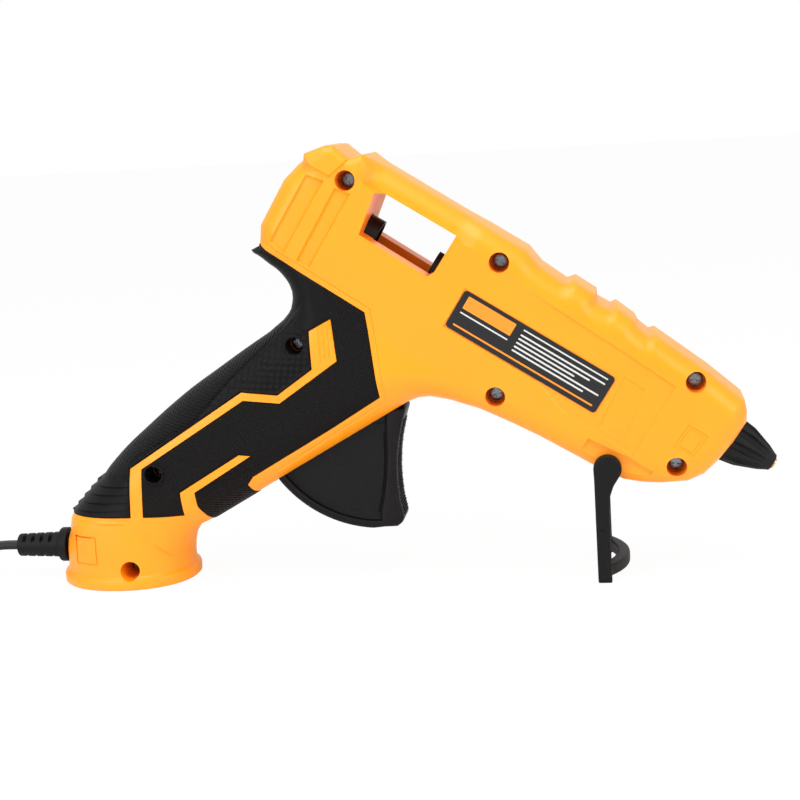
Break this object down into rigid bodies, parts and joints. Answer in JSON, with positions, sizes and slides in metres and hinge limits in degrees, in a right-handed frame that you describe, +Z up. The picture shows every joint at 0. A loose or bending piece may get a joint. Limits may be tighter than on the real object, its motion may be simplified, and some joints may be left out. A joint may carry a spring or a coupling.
{
  "type": "glue gun",
  "caption": "Hot-melt glue gun in a two-part casing with soft grips, a sliding feed worked by a trigger, a heated melt chamber, a fold-out wire-like stand and a mains cord.",
  "frame": {"origin": "centre of the foot's flat underside, on the plane where the casing halves meet", "axes": "+X from the foot towards the nozzle, +Z up, +Y across the gun to the left-hand side of someone holding it"},
  "size_m": [0.4979, 0.0498, 0.1559],
  "materials": {
    "casing_plastic": "moulded, satin, orange-yellow",
    "grip_rubber": "soft over-moulded grip, finely textured, black",
    "dark_plastic": "moulded, satin, near black",
    "label_film": "blank plate, semi-gloss, black",
    "silicone": "heat-proof silicone, matte, dark grey",
    "aluminium": "die cast, bead blasted",
    "brass": "turned brass",
    "steel": "steel",
    "zinc": "zinc-plated steel screws",
    "ceramic": "pressed mineral spacer and heater ceramic",
    "insulation": "amber insulating film",
    "wire_sleeve": "glass-fibre sleeved lead",
    "cord_rubber": "flexible cord jacket, matte black",
    "plug_plastic": "moulded plug, satin black"
  },
  "bodies": {
    "housing": {"casing_right": "casing_plastic", "casing_left": "casing_plastic", "grip_right": "grip_rubber", "grip_left": "grip_rubber", "label_plate": "label_film", "inlet_bush": "dark_plastic", "inlet_sleeve": "silicone", "sleeve_clip": "steel", "melt_chamber": "aluminium", "rear_spacer": "ceramic", "front_spacer": "ceramic", "heater_insulation": "insulation", "heater_electrodes": "steel", "ptc_heater": "ceramic", "heater_clip": "steel", "nozzle": "brass", "valve_spring": "steel", "nozzle_cover": "silicone", "trigger_pin": "steel", "trigger_spring": "steel", "casing_screws": "zinc", "cord_clamp": "dark_plastic", "clamp_screws": "zinc", "lead_wires": "wire_sleeve", "wire_crimps": "steel", "strain_relief": "cord_rubber", "cord_inner_end": "cord_rubber", "cord_lead": "cord_rubber", "cord_coil": "cord_rubber", "cord_tail": "cord_rubber", "coil_tie": "dark_plastic", "plug_body": "plug_plastic", "plug_pins": "steel"},
    "trigger": {"trigger": "dark_plastic"},
    "carriage": {"feed_carriage": "dark_plastic", "drive_pin": "steel", "jaw_pin": "steel"},
    "jaw": {"gripper_jaw": "steel"},
    "stand": {"stand": "dark_plastic"},
    "valve": {"valve_ball": "steel"}
  },
  "joints": [
    {"name": "trigger_pull", "type": "hinge", "parent": "housing", "child": "trigger", "pos_m": [0.09667, 0, 0.06317], "axis": [0, 1, 0], "range_deg": [0, 28], "stiffness_Nm_per_rad": 0.3, "springref_deg": -14.32, "deforming": ["trigger_spring"]},
    {"name": "carriage_slide", "type": "slide", "parent": "housing", "child": "carriage", "axis": [0.848, 0, -0.5299], "range_m": [0, 0.012]},
    {"name": "jaw_tilt", "type": "hinge", "parent": "carriage", "child": "jaw", "pos_m": [0.08717, 0, 0.11875], "axis": [0, 1, 0], "range_deg": [0, 6.2]},
    {"name": "stand_fold", "type": "hinge", "parent": "housing", "child": "stand", "pos_m": [0.1781, 0, 0.0406], "axis": [0, 1, 0], "range_deg": [0, 95]},
    {"name": "valve_slide", "type": "slide", "parent": "housing", "child": "valve", "axis": [0.848, 0, -0.5299], "range_m": [0, 0.001], "stiffness_N_per_m": 60, "springref_m": -0.002, "deforming": ["valve_spring"]}
  ],
  "couplings": [
    {"joint": "carriage_slide", "follows": "trigger_pull", "m_per_rad": 0.02455},
    {"joint": "jaw_tilt", "follows": "trigger_pull", "ratio": 0.2143}
  ]
}
